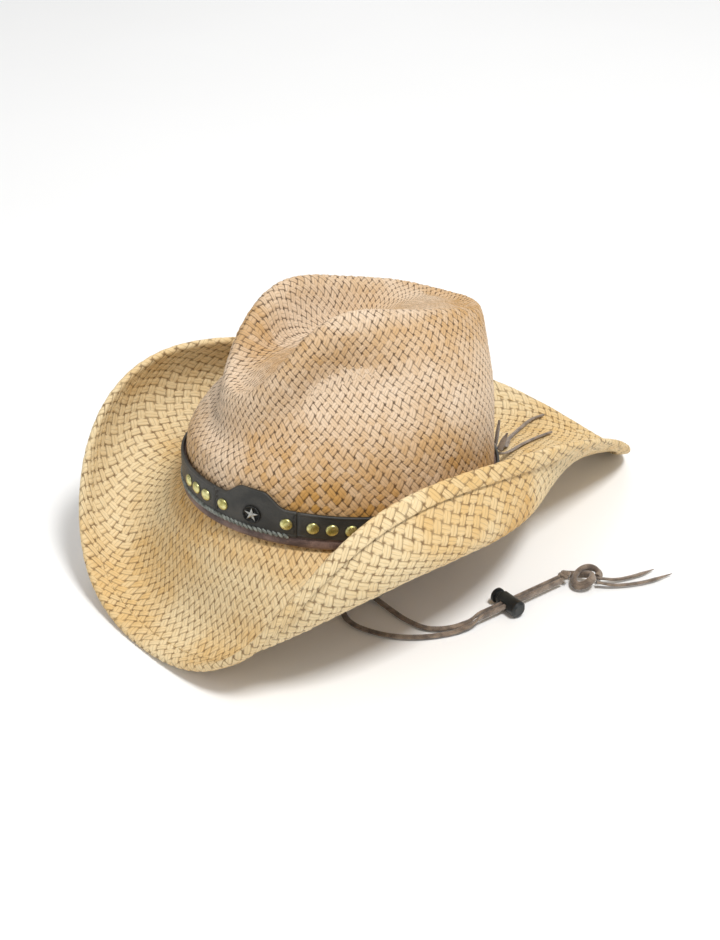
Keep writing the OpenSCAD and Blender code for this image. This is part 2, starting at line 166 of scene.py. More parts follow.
def crown_point(a, t):
    a, t = np.broadcast_arrays(np.asarray(a, float), np.asarray(t, float))
    k = stations(a)
    k = np.stack([2 * k[0] - k[1]] + k + [2 * k[6] - k[5]])
    i = np.clip(np.floor(t).astype(int), 0, 5)
    f = (t - i)[..., None]
    place = tuple(np.indices(a.shape))
    p0, p1, p2, p3 = (k[(i + j,) + place] for j in range(4))
    curve = 0.5 * (2 * p1 + (p2 - p0) * f + (2 * p0 - 5 * p1 + 4 * p2 - p3) * f * f
                   + (3 * p1 - p0 - 3 * p2 + p3) * f ** 3)
    dent = sum(np.exp(-(gap_from(a, side) / DENT_SPREAD) ** 2 - ((t - DENT_ROW) / DENT_ROWS) ** 2)
               for side in (DENT_ANGLE, -DENT_ANGLE))
    return curve - outward(a) * DENT_DEPTH * dent[..., None]


def normals_of(grid):
    """Unit normals of a grid of points, [rows, columns, 3], that goes round in its columns."""
    along = np.gradient(grid, axis=0)
    ring = np.concatenate([grid[:, -2:-1], grid, grid[:, 1:2]], axis=1)
    across = ring[:, 2:] - ring[:, :-2]
    return unit(np.cross(across, along) + 1e-9)


def wall_point(a, up, out):
    a, up, out = (np.asarray(v, float) for v in (a, up, out))
    return crown_point(a, up / WALL_RISE) + outward(a) * out[..., None]


print("rim from", rim_point(np.array([0.0, 180.0])).round(1).tolist())

# %% [markdown]
# Node trees are easier to read when a step is one line, so two small helpers make a node, fill its
# sockets and link it. Colours are written as a paint chart writes them, and turned into light.

# %% Helpers for finishes


def shade(r, g, b):
    parts = [c / 255 for c in (r, g, b)]
    light = [c / 12.92 if c <= 0.04 else ((c + 0.055) / 1.055) ** 2.4 for c in parts]
    return (*light, 1.0)


def node(tree, kind, inputs=None, **settings):
    made = tree.nodes.new(kind)
    for key, value in settings.items():
        setattr(made, key, value)
    for key, value in (inputs or {}).items():
        if isinstance(value, bpy.types.NodeSocket):
            tree.links.new(value, made.inputs[key])
        else:
            made.inputs[key].default_value = value
    return made


def calc(tree, operation, *values, clamp=False):
    return node(tree, "ShaderNodeMath", dict(enumerate(values)), operation=operation,
                use_clamp=clamp).outputs[0]


def blend(tree, factor, a, b, mode="MIX"):
    made = node(tree, "ShaderNodeMix", {0: factor, 6: a, 7: b}, data_type="RGBA", blend_type=mode)
    return made.outputs[2]


def ramp(tree, value, low, high, to_low=0.0, to_high=1.0):
    return node(tree, "ShaderNodeMapRange", {0: value, 1: low, 2: high, 3: to_low, 4: to_high},
                interpolation_type="SMOOTHSTEP").outputs[0]


def noise(tree, where, scale, detail=3.0, rough=0.55):
    return node(tree, "ShaderNodeTexNoise",
                {"Vector": where, "Scale": scale, "Detail": detail, "Roughness": rough}).outputs[0]


def group(name, inputs, outputs):
    tree = bpy.data.node_groups.new(name, "ShaderNodeTree")
    for label, kind in inputs:
        tree.interface.new_socket(label, in_out="INPUT", socket_type="NodeSocket" + kind)
    for label, kind in outputs:
        tree.interface.new_socket(label, in_out="OUTPUT", socket_type="NodeSocket" + kind)
    return tree, node(tree, "NodeGroupInput").outputs, node(tree, "NodeGroupOutput").inputs


def use(tree, made_group, inputs):
    return node(tree, "ShaderNodeGroup", inputs, node_tree=made_group).outputs


def finish_named(name, **sockets):
    """A new material with its Principled shader; uniform values go straight on its sockets."""
    material = bpy.data.materials.new(name)
    material.use_nodes = True
    shader = material.node_tree.nodes["Principled BSDF"]
    for key, value in sockets.items():
        shader.inputs[key.replace("_", " ")].default_value = value
    return material, material.node_tree, shader


def plug(tree, shader, socket, value):
    tree.links.new(value, shader.inputs[socket])


def bump(tree, shader, height, strength, distance):
    made = node(tree, "ShaderNodeBump", {"Height": height, "Strength": strength,
                                         "Distance": distance})
    tree.links.new(made.outputs[0], shader.inputs["Normal"])


def coordinates(tree, kind="Object"):
    return node(tree, "ShaderNodeTexCoord").outputs[kind]


# %% [markdown]
# Two effects are shared. The first is wear: slow patches and a fine grain, which every real surface
# has. The second is the weave: twin straws that cross on the bias, over one and under one. It reads
# strand numbers from the UV map, so its gaps fall exactly on the ones in the mesh. Its gap mask is
# painted shade: dark holes where strands cross, a painted shadow along one side of each strand and a
# shaded groove down its middle.

# %% Shared effects
wear_group, got, give = group("wear and grain", [("Where", "Vector"), ("Patches", "Float"),
                              ("Grain size", "Float")], [("Patch", "Float"), ("Grain", "Float")])
wear_group.links.new(noise(wear_group, got["Where"], got["Patches"]), give["Patch"])
wear_group.links.new(noise(wear_group, got["Where"], got["Grain size"], 5.0, 0.65), give["Grain"])

weave_group, got, give = group("bias weave", [("Strands", "Vector")], [
    ("Gap shade", "Float"), ("Tint", "Float"), ("Fibre", "Float")])
w = weave_group
split = node(w, "ShaderNodeSeparateXYZ", {0: got["Strands"]}).outputs
cell = [calc(w, "FLOOR", split[k]) for k in (0, 1)]
part = [calc(w, "FRACT", split[k]) for k in (0, 1)]
odd = calc(w, "PINGPONG", calc(w, "ADD", cell[0], cell[1]), 1.0)


def either(a, b):
    """b where the second family of strands is on top, and a elsewhere."""
    return calc(w, "ADD", calc(w, "MULTIPLY", a, calc(w, "SUBTRACT", 1.0, odd)),
                calc(w, "MULTIPLY", b, odd))


across, along = either(part[0], part[1]), either(part[1], part[0])
strand = either(cell[0], calc(w, "ADD", cell[1], 311.0))
edge = calc(w, "ABSOLUTE", calc(w, "SUBTRACT", calc(w, "MULTIPLY", across, 2.0), 1.0))
end = calc(w, "ABSOLUTE", calc(w, "SUBTRACT", calc(w, "MULTIPLY", along, 2.0), 1.0))
middle = calc(w, "ABSOLUTE", calc(w, "SUBTRACT", across, 0.5))
uneven = ramp(w, noise(w, got["Strands"], 0.37, 2.0), 0.35, 0.65, 0.72, 1.0)
# Painted shade: a dark hole where strands cross, strongest at each strand's corners.
hole = calc(w, "MULTIPLY", calc(w, "MULTIPLY", ramp(w, edge, 0.50, 0.90), ramp(w, end, 0.10, 0.80)),
            uneven)
# Painted shadow along one side of each strand, standing in for light that falls from the other side.
side = ramp(w, across, 0.74, 0.98)
line = calc(w, "MULTIPLY", calc(w, "ADD", calc(w, "MULTIPLY", side, 0.6),
            calc(w, "MULTIPLY", ramp(w, edge, 0.80, 1.0), 0.45)), uneven)
# Painted shade in the groove down the middle of the twin straws.
groove = calc(w, "MULTIPLY", ramp(w, middle, 0.08, 0.0), 0.30)
gap_shade = calc(w, "ADD", calc(w, "MAXIMUM", hole, line), groove, clamp=True)
tile = node(w, "ShaderNodeCombineXYZ", {0: cell[0], 1: cell[1], 2: strand}).outputs[0]
tint = node(w, "ShaderNodeTexWhiteNoise", {"Vector": tile}).outputs[0]
lengthways = node(w, "ShaderNodeCombineXYZ", {
    0: calc(w, "MULTIPLY", across, 9.0), 1: calc(w, "MULTIPLY", along, 0.7), 2: strand}).outputs[0]
w.links.new(gap_shade, give["Gap shade"])
w.links.new(tint, give["Tint"])
w.links.new(noise(w, lengthways, 1.6, 3.0, 0.6), give["Fibre"])
print("shared effects", wear_group.name, "and", weave_group.name)

# %% [markdown]
# Paper straw is cream, with golden patches where the blocking steam caught it and a rosier tan on
# the crown's wall. Gaps between strands are painted shade. A darker row of strands under the crown's
# ridge is painted shade in the dent; on the brim the same row is a golden ring beside the band. The
# fibres are a fine bump.

# %% Straw finishes


def straw_finish(name, pale, mid, gold_and_shade, gap_shade_colour, gold_low, gold_high, gap_shade_weight, shade_and_stain_row):
    material, tree, shader = finish_named(name, Roughness=0.62, Specular_IOR_Level=0.28)
    where = coordinates(tree)
    weave = use(tree, weave_group, {"Strands": coordinates(tree, "UV")})
    worn = use(tree, wear_group, {"Where": where, "Patches": 13.0, "Grain size": 900.0})
    rows = node(tree, "ShaderNodeSeparateXYZ", {0: coordinates(tree, "UV")}).outputs
    out = calc(tree, "SUBTRACT", rows[1], rows[0])
    drift = calc(tree, "ADD", out, calc(tree, "MULTIPLY", calc(
        tree, "SUBTRACT", worn["Patch"], 0.5), 44.0))
    colour = blend(tree, ramp(tree, worn["Patch"], 0.38, 0.62), mid, pale)
    colour = blend(tree, ramp(tree, drift, gold_low, gold_high), gold_and_shade, colour)
    # A darker row of strands. On the crown it is painted shade under the ridge, in the dent; on the
    # brim it is a golden ring beside the band.
    band = calc(tree, "MULTIPLY", ramp(tree, out, shade_and_stain_row - 9, shade_and_stain_row - 2),
                ramp(tree, out, shade_and_stain_row + 4, shade_and_stain_row + 1))
    colour = blend(tree, calc(tree, "MULTIPLY", band, 0.55), colour, gold_and_shade)
    colour = blend(tree, ramp(tree, weave["Tint"], 0.0, 1.0, 0.0, 0.42), colour, pale)
    dull = calc(tree, "MULTIPLY", ramp(tree, weave["Fibre"], 0.62, 0.34), 0.30)
    colour = blend(tree, dull, colour, gold_and_shade)
    # Painted shade in the gaps between strands.
    colour = blend(tree, calc(tree, "MULTIPLY", weave["Gap shade"], gap_shade_weight), colour, gap_shade_colour)
    plug(tree, shader, "Base Color", colour)
    plug(tree, shader, "Roughness", ramp(tree, weave["Fibre"], 0.3, 0.7, 0.72, 0.5))
    rise = calc(tree, "SUBTRACT", calc(tree, "MULTIPLY", weave["Fibre"], 0.5),
                calc(tree, "MULTIPLY", weave["Gap shade"], 0.9))
    bump(tree, shader, calc(tree, "ADD", rise, calc(tree, "MULTIPLY", worn["Grain"], 0.12)),
         0.55, 0.0006)
    return material


CREAM, SAND, GOLD = shade(232, 212, 170), shade(222, 188, 130), shade(206, 158, 84)
ROSE, BLUSH, GAP_SHADE = shade(206, 174, 136), shade(226, 204, 178), shade(64, 44, 26)
STAIN_AND_SHADE_TAN = shade(192, 144, 74)
# The crown's darker row, at strand row 37, is painted shade under the ridge in the dent; its tan
# also colours the real stains.
crown_straw = straw_finish("crown straw", BLUSH, ROSE, STAIN_AND_SHADE_TAN, GAP_SHADE, 0.0, 22.0, 0.92, 37)
# The brim's gap colour is painted shade as well, lighter than the crown's.
brim_straw = straw_finish("brim straw", CREAM, SAND, GOLD, shade(104, 74, 40), -6.0, 8.0, 0.85, 2)

# %% [markdown]
# Leather, suede, cloth, metal and plastic all start from the same recipe: a colour that drifts a
# little, a grain that the light catches, and one number for how glossy it is.

# %% Other finishes


def plain_finish(name, dark, light, patches, grain, depth, strength=0.5, rough=(0.4, 0.6),
                 **sockets):
    material, tree, shader = finish_named(name, **sockets)
    worn = use(tree, wear_group, {"Where": coordinates(tree), "Patches": patches,
                                  "Grain size": grain})
    mottle = calc(tree, "ADD", calc(tree, "MULTIPLY", worn["Patch"], 0.6),
                  calc(tree, "MULTIPLY", worn["Grain"], 0.4))
    plug(tree, shader, "Base Color", blend(tree, ramp(tree, mottle, 0.38, 0.62), dark, light))
    plug(tree, shader, "Roughness", ramp(tree, worn["Grain"], 0.35, 0.65, *rough))
    bump(tree, shader, worn["Grain"], strength, depth)
    return material


black_leather = plain_finish("black leather", shade(38, 38, 35), shade(62, 60, 55), 60.0, 1500.0,
                             0.00025, rough=(0.42, 0.6), Specular_IOR_Level=0.45)
brown_leather = plain_finish("brown leather", shade(72, 54, 48), shade(124, 100, 90), 90.0, 1300.0,
                             0.00025, rough=(0.42, 0.58))
suede = plain_finish("taupe suede", shade(92, 78, 66), shade(146, 128, 110), 160.0, 2600.0,
                     0.0004, 0.8, (0.85, 0.98), Sheen_Weight=0.35, Sheen_Roughness=0.5)
grey_lacing = plain_finish("grey waxed lacing", shade(88, 92, 86), shade(140, 144, 136), 300.0,
                           2400.0, 0.0002, rough=(0.45, 0.65))
brass = plain_finish("aged brass", shade(168, 160, 92), shade(226, 220, 160), 220.0, 1800.0, 0.0001,
                     0.3, (0.24, 0.44), Metallic=0.9)
dark_metal = plain_finish("antique nickel", shade(24, 24, 25), shade(62, 62, 60), 400.0, 2200.0,
                          0.0001, 0.4, (0.3, 0.5), Metallic=0.85)
bright_metal = plain_finish("rubbed nickel", shade(132, 132, 128), shade(196, 196, 190), 400.0,
                            2200.0, 0.0001, 0.3, (0.25, 0.42), Metallic=0.8)
steel = plain_finish("wire steel", shade(120, 122, 124), shade(176, 178, 180), 300.0, 2000.0,
                     0.0001, 0.3, (0.25, 0.4), Metallic=0.9)
lock_plastic = plain_finish("moulded black plastic", shade(24, 26, 26), shade(40, 43, 42), 120.0,
                            3200.0, 0.0001, 0.35, (0.34, 0.5), Specular_IOR_Level=0.5)
straw_thread = plain_finish("straw thread", shade(176, 146, 96), shade(226, 202, 152), 300.0,
                            2600.0, 0.0002, rough=(0.7, 0.9))
pale_thread = plain_finish("pale thread", shade(206, 196, 174), shade(238, 230, 212), 300.0,
                           2600.0, 0.0002, rough=(0.7, 0.9))
dark_thread = plain_finish("dark thread", shade(30, 28, 26), shade(64, 60, 54), 300.0, 2600.0,
                           0.0002, rough=(0.7, 0.9))
band_cloth = plain_finish("sweatband cloth", shade(150, 126, 94), shade(198, 176, 142), 80.0,
                          1900.0, 0.0003, 0.6, (0.8, 0.95))
tape = plain_finish("anchor tape", shade(120, 104, 88), shade(158, 142, 122), 200.0, 2200.0,
                    0.0003, 0.6, (0.8, 0.95))

KEPT = {
    "brim_wire": steel, "wire_ferrule": steel, "hem_stitching": straw_thread,
    "sweatband_stitching": pale_thread, "concho_post": dark_metal, "stud_prongs": brass,
    "plate_stitches": dark_thread, "lace_anchor_left": tape, "lace_anchor_right": tape,
    "lock_barrel": lock_plastic, "lock_button": lock_plastic, "lock_spring": steel}
for name, material in KEPT.items():
    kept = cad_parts[name]
    kept.data.materials.clear()
    kept.data.materials.append(material)
print(len(KEPT), "frame parts keep their shape and get a finish")

# %% [markdown]
# The chin laces and the tie's tails are suede, cut flat. Blender's curve draws a flat strip when
# it has both an extrude and a bevel, and each point's tilt turns the strip: flat where it lies on
# the table, on edge where both laces pass through the cord lock.

# %% A flat lace
LACE_WIDTH, LACE_THICK = 0.0040, 0.0018


def catmull(points, steps):
    points = [Vector(p) for p in points]
    ends = [2 * points[0] - points[1]] + points + [2 * points[-1] - points[-2]]
    path = []
    for i in range(1, len(ends) - 2):
        p0, p1, p2, p3 = ends[i - 1:i + 3]
        for j in range(steps):
            f = j / steps
            path.append(0.5 * (2 * p1 + (p2 - p0) * f + (2 * p0 - 5 * p1 + 4 * p2 - p3) * f * f
                               + (3 * p1 - p0 - 3 * p2 + p3) * f ** 3))
    return path + [points[-1]]


def flat_lace(name, path, tilts, material, width=LACE_WIDTH, thick=LACE_THICK, tip=1.0):
    curve = bpy.data.curves.new(name, "CURVE")
    curve.dimensions, curve.twist_mode, curve.use_fill_caps = "3D", "Z_UP", True
    curve.bevel_depth, curve.extrude, curve.bevel_resolution = thick / 2, (width - thick) / 2, 2
    spline = curve.splines.new("POLY")
    spline.points.add(len(path) - 1)
    for k, (point, place) in enumerate(zip(spline.points, path)):
        point.co = (*place, 1)
        point.tilt = tilts(k / (len(path) - 1), place)
        point.radius = 1.0 if k < len(path) - 6 else mix(1.0, tip, (k - len(path) + 6) / 5)
    drawn = bpy.data.objects.new(name, curve)
    bpy.context.collection.objects.link(drawn)
    mesh = bpy.data.meshes.new_from_object(drawn)
    bpy.data.objects.remove(drawn)
    return keep(name, mesh, material, smooth=True)


def keep(name, mesh, material, body="hat", smooth=True):
    piece = bpy.data.objects.new(name, mesh)
    bpy.context.collection.objects.link(piece)
    mesh.materials.clear()
    mesh.materials.append(material)
    for face in mesh.polygons:
        face.use_smooth = smooth
    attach(piece, body)
    print(name, len(mesh.polygons), "faces")
    return piece


def length_of(path):
    return sum((b - a).length for a, b in zip(path, path[1:]))


LACE_X, LACE_GAP, LOCK_Z = 106, 1.75, 5.7
ANCHOR_UP = 12
ANCHOR_OUT = -STRAW * 1.25 - 0.15 - 1 - 1.4
LEFT_FOOT = wall_point(90, ANCHOR_UP - 5, ANCHOR_OUT)
RIGHT_FOOT = wall_point(270, ANCHOR_UP - 5, ANCHOR_OUT)
LEFT_X, RIGHT_X = LACE_X + LACE_GAP, LACE_X - LACE_GAP
LEFT_ROUTE = [LEFT_FOOT, (78, -6, 46), (66, -13, 25), (54, -15, 10), (44, -14, 3),
              (38, -19, 1.9), (39, -28, 1.9), (46, -35, 1.9), (56, -38, 1.9), (68, -36, 1.9),
              (84, -27, 1.9), (97, -12, 1.9), (105, 6, 1.9), (LEFT_X, 19, 3.6),
              (LEFT_X, 28, LOCK_Z)]
RIGHT_ROUTE = [RIGHT_FOOT, (-77, 0, 44), (-66, -1, 20), (-48, -3, 4.5), (-28, -5, 1.9),
               (-2, -7, 1.9), (22, -9, 1.9), (38, -9, 1.9), (50, -9, 1.9), (62, -9, 1.9),
               (78, -8, 1.9), (92, -3, 1.9), (100, 8, 2), (RIGHT_X, 19, 3.8),
               (RIGHT_X, 28, LOCK_Z)]
STRAIGHT = (46, 64, 82, 99)


def lace_tilt(start):
    def tilt(part, place):
        y, z = place.y / MM, place.z / MM
        hanging = min(max((z - 8) / 16, 0), 1)
        on_edge = min(max((y - 18) / 12, 0), 1) * min(max((part - start) * 20, 0), 1)
        return math.radians(90) * (1 - max(hanging, on_edge))
    return tilt


laces = []
for name, route, x in (("chin_lace_left_suede", LEFT_ROUTE, LEFT_X),
                       ("chin_lace_right_suede", RIGHT_ROUTE, RIGHT_X)):
    route = [tuple(p) for p in route] + [(x, y, LOCK_Z) for y in STRAIGHT]
    path = catmull([[c * MM for c in p] for p in route], 6)
    laces.append((flat_lace(name, path, lace_tilt(0.5), suede), path, route))
    print(name, round(length_of(path) * 1000), "mm")

# %% [markdown]
# The two laces end in one overhand knot, tied with both strands together, and their cut ends point
# on past it. An overhand knot follows an open trefoil, so its path is three sines, and the pair of
# strands runs along it side by side.

# %% Chin knot and its tails
KNOT_CENTRE, KNOT_SIZE = Vector((112.5, 111.5, 6.1)) * MM, (4.9, 3.3, 2.2)
knot_bm = bmesh.new()
for side in (-1, 1):
    path = []
    for k in range(73):
        t = math.radians(35 + 300 * k / 72)
        x = math.sin(t) + 2 * math.sin(2 * t)
        y = math.cos(t) - 2 * math.cos(2 * t)
        z = -math.sin(3 * t)
        turned = Matrix.Rotation(math.radians(62), 3, "Z") @ Vector((
            x * KNOT_SIZE[0], y * KNOT_SIZE[1], z * KNOT_SIZE[2] + side * 0.9))
        inward = 1 - 0.12 * (side + 1) / 2
        path.append(KNOT_CENTRE + Vector((turned.x * inward, turned.y * inward, turned.z)) * MM)
    drawn = bpy.data.curves.new("knot strand", "CURVE")
    drawn.dimensions, drawn.bevel_depth, drawn.use_fill_caps = "3D", 0.00185, True
    drawn.bevel_resolution = 3
    spline = drawn.splines.new("POLY")
    spline.points.add(len(path) - 1)
    for point, place in zip(spline.points, path):
        point.co = (*place, 1)
    holder = bpy.data.objects.new("knot strand", drawn)
    bpy.context.collection.objects.link(holder)
    knot_bm.from_mesh(bpy.data.meshes.new_from_object(holder))
    bpy.data.objects.remove(holder)
knot_mesh = bpy.data.meshes.new("chin_knot_tied")
knot_bm.to_mesh(knot_mesh)
knot_bm.free()
chin_knot = keep("chin_knot_tied", knot_mesh, suede)
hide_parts("chin_knot")

TAIL_SHORT = [(119, 119, 5), (125, 131, 2.4), (129, 145, 1.9), (131, 160, 1.9)]
TAIL_LONG = [(122, 116, 4.6), (130, 127, 2.2), (138, 145, 1.9), (142, 166, 1.9)]
for name, route in (("chin_tail_short", TAIL_SHORT), ("chin_tail_long", TAIL_LONG)):
    path = catmull([[c * MM for c in p] for p in route], 8)
    piece = flat_lace(name, path, lambda part, place: math.radians(70), suede, 0.0036, 0.0016, 0.25)
    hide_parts("chin_lace_tails")
for (piece, path, route), node_name in zip(laces, ("chin_lace_left", "chin_lace_right")):
    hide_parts(node_name)

# %% [markdown]
# The straw is woven, so its skin has to be a real relief and not a picture of one. A fine grid is
# laid on the surface formula, and each point is raised by the strand that passes over it. Strand
# numbers count along the two diagonals, because the straws run on the bias.

# %% Weave relief
RELIEF = 0.8
CROWN_RINGS, CROWN_PITCH = 188, 3.6
BRIM_RINGS, BRIM_PITCH = 240, 4.5


def strand_numbers(a, distance, rings, pitch):
    around, out = rings * a / 360, distance / pitch
    sway = 0.10 * np.sin(out * 0.9 + 3 * sind(a * 5)) + 0.08 * sind(a * 17 + out * 40)
    return (around - out) / 2 + sway, (around + out) / 2 - sway


def hash_of(i):
    return np.modf(np.abs(np.sin(i * 12.9898 + 4.1) * 43758.5453))[0]


def weave_height(m, n):
    i, j = np.floor(m), np.floor(n)
    odd = (i + j) % 2 > 0.5
    across, along = np.where(odd, n - j, m - i), np.where(odd, m - i, n - j)
    edge = np.abs(2 * across - 1)
    arch = np.sin(np.pi * np.clip(along, 0, 1)) ** 0.55
    body = (0.1 + 0.9 * arch) * (1 - 0.62 * edge ** 5)
    twin = 0.16 * np.exp(-((across - 0.5) / 0.09) ** 2) * arch
    uneven = 0.78 + 0.44 * hash_of(np.where(odd, j + 57, i) + 0.37 * np.where(odd, i, j))
    return body * uneven - twin


def woven_skin(name, columns, place, material, rows, facing):
    """A grid mapped by place(angle, row) onto [rows, columns, 3] points, with strand numbers in
    its UV map, closed round the hat."""
    bm = bmesh.new()
    layer = bm.loops.layers.uv.new("strands")
    bmesh.ops.create_grid(bm, x_segments=columns, y_segments=rows - 1, size=1.0)
    flat = np.array([v.co[:2] for v in bm.verts])
    column = np.rint((flat[:, 0] + 1) / 2 * columns).astype(int)
    row = np.rint((flat[:, 1] + 1) / 2 * (rows - 1)).astype(int)
    points, m, n = place(np.linspace(0, 360, columns + 1)[None, :])
    for vert, c, r in zip(bm.verts, column, row):
        vert.co = points[r, c] * MM
    bm.verts.index_update()
    for face in bm.faces:
        for loop in face.loops:
            k = loop.vert.index
            loop[layer].uv = (m[row[k], column[k]], n[row[k], column[k]])
    bmesh.ops.remove_doubles(bm, verts=bm.verts, dist=1e-6)
    bm.faces.ensure_lookup_table()
    bm.normal_update()
    probe = bm.faces[len(bm.faces) // 3]
    if probe.normal.dot(facing(probe)) < 0:
        bmesh.ops.reverse_faces(bm, faces=bm.faces)
    mesh = bpy.data.meshes.new(name)
    bm.to_mesh(mesh)
    bm.free()
    return keep(name, mesh, material)


def distances(points):
    steps = np.linalg.norm(np.diff(points, axis=0), axis=-1)
    return np.concatenate([np.zeros((1, points.shape[1])), np.cumsum(steps, axis=0)])


# %% [markdown]
# The crown is a closed shell. Its outer skin carries the relief, and it turns over at the crease's
# middle into a plain inner skin, so the wall has the straw's thickness. The rows are spaced evenly
# along the surface, so that no strand is drawn coarser than its neighbour.

# %% Crown
INNER_ROWS = 18
OUTER_ROWS = 200
fine = np.linspace(0, 6, 241)
mean_run = distances(crown_point(np.arange(0, 360, 5.0)[None, :], fine[:, None])).mean(axis=1)
OUTER_T = np.interp(np.linspace(0, mean_run[-1], OUTER_ROWS), mean_run, fine)
INNER_T = np.linspace(5.9, 0, INNER_ROWS)


def crown_place(a):
    outer = crown_point(a, OUTER_T[:, None])
    run = distances(outer)
    m, n = strand_numbers(a, run, CROWN_RINGS, CROWN_PITCH)
    fade = np.clip((5.6 - OUTER_T) / 1.0, 0, 1)[:, None] * np.ones_like(run)
    smooth = 1 - 0.45 * np.exp(-((OUTER_T - 5) / 0.9) ** 2)[:, None]
    face = normals_of(outer)
    face[-1] = (0, 0, 1)
    raised = outer + face * ((weave_height(m, n) - 0.35) * RELIEF * fade * smooth)[..., None]
    inner = crown_point(a, INNER_T[:, None])
    inner_face = normals_of(inner[::-1])[::-1]
    inner = inner - inner_face * STRAW
    points = np.concatenate([raised, inner])
    inner_run = np.interp(INNER_T, OUTER_T, run.mean(axis=1))[:, None] * np.ones_like(inner[..., 0])
    m2, n2 = strand_numbers(a, inner_run, CROWN_RINGS, CROWN_PITCH)
    return points, np.concatenate([m, m2]), np.concatenate([n, n2])


def away_from_middle(face):
    return face.calc_center_median() - Vector((0, 0.005, 0.09))


crown = woven_skin("straw_crown_woven", 440, crown_place, crown_straw,
                   OUTER_ROWS + INNER_ROWS, away_from_middle)
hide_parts("straw_crown")

# %% [markdown]
# The brim is one cloth, but its top and its underside are both seen, so it is two skins, 1.2 mm
# apart. The top one rolls over the wire at the rim and turns back under itself as the hem does.

# %% Brim
BRIM_ROWS = 116
HEM = [(-1, 0.0), (0.6, 0.25), (1.6, 0.9), (2, 2.2), (1.6, 3.5), (0.6, 4.2), (-1, 4.4), (-3.6, 4.4),
       (-6.3, 4.4), (-8.6, 4.3), (-9.1, 3.7), (-9.0, 2.6)]
TOP_S = np.linspace(0, 0.985, BRIM_ROWS)
UNDER_S = np.linspace(0.0, 0.99, BRIM_ROWS)


def brim_top_place(a):
    top = brim_point(a, TOP_S[:, None])
    face = -normals_of(top)
    rim, near = brim_point(a, np.array([[1.0]])), brim_point(a, np.array([[0.97]]))
    out = unit(rim - near)
    up = face[-1:]
    hem = np.concatenate([rim + out * o - up * d for o, d in HEM])
    lift = [90, 60, 35, 0, -35, -60, -90, -90, -90, -90, -180, -180]
    hem_face = np.concatenate([up * math.sin(math.radians(k)) + out * math.cos(math.radians(k))
                               for k in lift])
    points, faces = np.concatenate([top, hem]), np.concatenate([face, hem_face])
    m, n = strand_numbers(a, distances(points), BRIM_RINGS, BRIM_PITCH)
    amount = np.concatenate([np.ones(BRIM_ROWS), np.full(len(HEM), 0.5)])[:, None]
    return points + faces * ((weave_height(m, n) - 0.35) * RELIEF * amount)[..., None], m, n


def brim_under_place(a):
    top = brim_point(a, UNDER_S[:, None])
    face = -normals_of(top)
    m, n = strand_numbers(a, distances(top), BRIM_RINGS, BRIM_PITCH)
    under = weave_height(m + 1, n)
    return top - face * (STRAW + (under - 0.35) * RELIEF)[..., None], m + 1, n


brim_top = woven_skin("straw_brim_top", 760, brim_top_place, brim_straw,
                      BRIM_ROWS + len(HEM), lambda face: Vector((0, 0, 1)))
brim_under = woven_skin("straw_brim_underside", 760, brim_under_place, brim_straw,
                        BRIM_ROWS, lambda face: Vector((0, 0, -1)))
for piece in (brim_top, brim_under):
    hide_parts("straw_brim")

# %% [markdown]
# A strap is one outline swept round the wall: its section is a list of places, so far out and so
# far up. The grid's columns go round the hat and its rows go round the section.

# %% Straps and sweatband


def swept_strap(name, section, from_a, to_a, columns, material, nodes):
    """Sweeps a section, a function of angle that gives (out, up) places, round the wall."""
    whole = to_a - from_a > 359
    angles = np.linspace(from_a, to_a, columns + 1)
    sections = np.array([section(a) for a in angles])
    count = sections.shape[1]
    bm = bmesh.new()
    bmesh.ops.create_grid(bm, x_segments=columns, y_segments=count, size=1.0)
    points = wall_point(angles[:, None], sections[..., 1], sections[..., 0])
    for vert in bm.verts:
        c = int(round((vert.co.x + 1) / 2 * columns))
        r = int(round((vert.co.y + 1) / 2 * count)) % count
        vert.co = points[c, r] * MM
    bmesh.ops.remove_doubles(bm, verts=bm.verts, dist=1e-6)
    if not whole:
        bmesh.ops.holes_fill(bm, edges=[e for e in bm.edges if e.is_boundary], sides=0)
    bmesh.ops.recalc_face_normals(bm, faces=bm.faces)
    mesh = bpy.data.meshes.new(name)
    bm.to_mesh(mesh)
    bm.free()
    piece = keep(name, mesh, material)
    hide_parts(*nodes)
    return piece


BASE_FACE, SNUG = 1.9, 0.15
LEATHER_BACK = BASE_FACE + SNUG
LEATHER_FACE = LEATHER_BACK + 1.8


def base_section(a):
    return [(SNUG, 2.2), (1.4, 1.9), (2.6, 2.0), (3.3, 2.4), (3.7, 3.2), (3.85, 4.2), (3.7, 5.4),
            (3.4, 6.4), (3.0, 7.4), (2.4, 8.3), (BASE_FACE, 9.2), (BASE_FACE, 14), (BASE_FACE, 20),
            (BASE_FACE, 24), (SNUG, 24), (SNUG, 14)]


def leather_section(low, high):
    b, f = LEATHER_BACK, LEATHER_FACE
    return [(b, low), (f - 0.7, low), (f - 0.2, low + 0.2), (f, low + 0.8), (f, low + 1.6),
            (f - 0.12, low + 1.9), (f, low + 2.2), (f, (low + high) / 2), (f, high - 2.2),
            (f - 0.12, high - 1.9), (f, high - 1.6), (f, high - 0.8), (f - 0.2, high - 0.2),
            (f - 0.7, high), (b, high), (b, (low + high) / 2)]


def plate_high(a):
    f = min(max((12.5 - abs(a - 25)) / 8.5, 0), 1)
    return mix(26, 35, f * f * (3 - 2 * f))


def sweat_section(a):
    face = -STRAW * 1.25 - SNUG
    back = face - 1
    return [(back, 2), (back + 0.1, 1.2), ((face + back) / 2, 0.8), (face - 0.1, 1.2), (face, 2),
            (face, 12), (face, 30), (face - 0.2, 31.8), ((face + back) / 2, 32.2),
            (back + 0.15, 31.6), (back - 0.05, 29), (back, 20), (back - 0.1, 8), (back + 0.12, 4.2)]


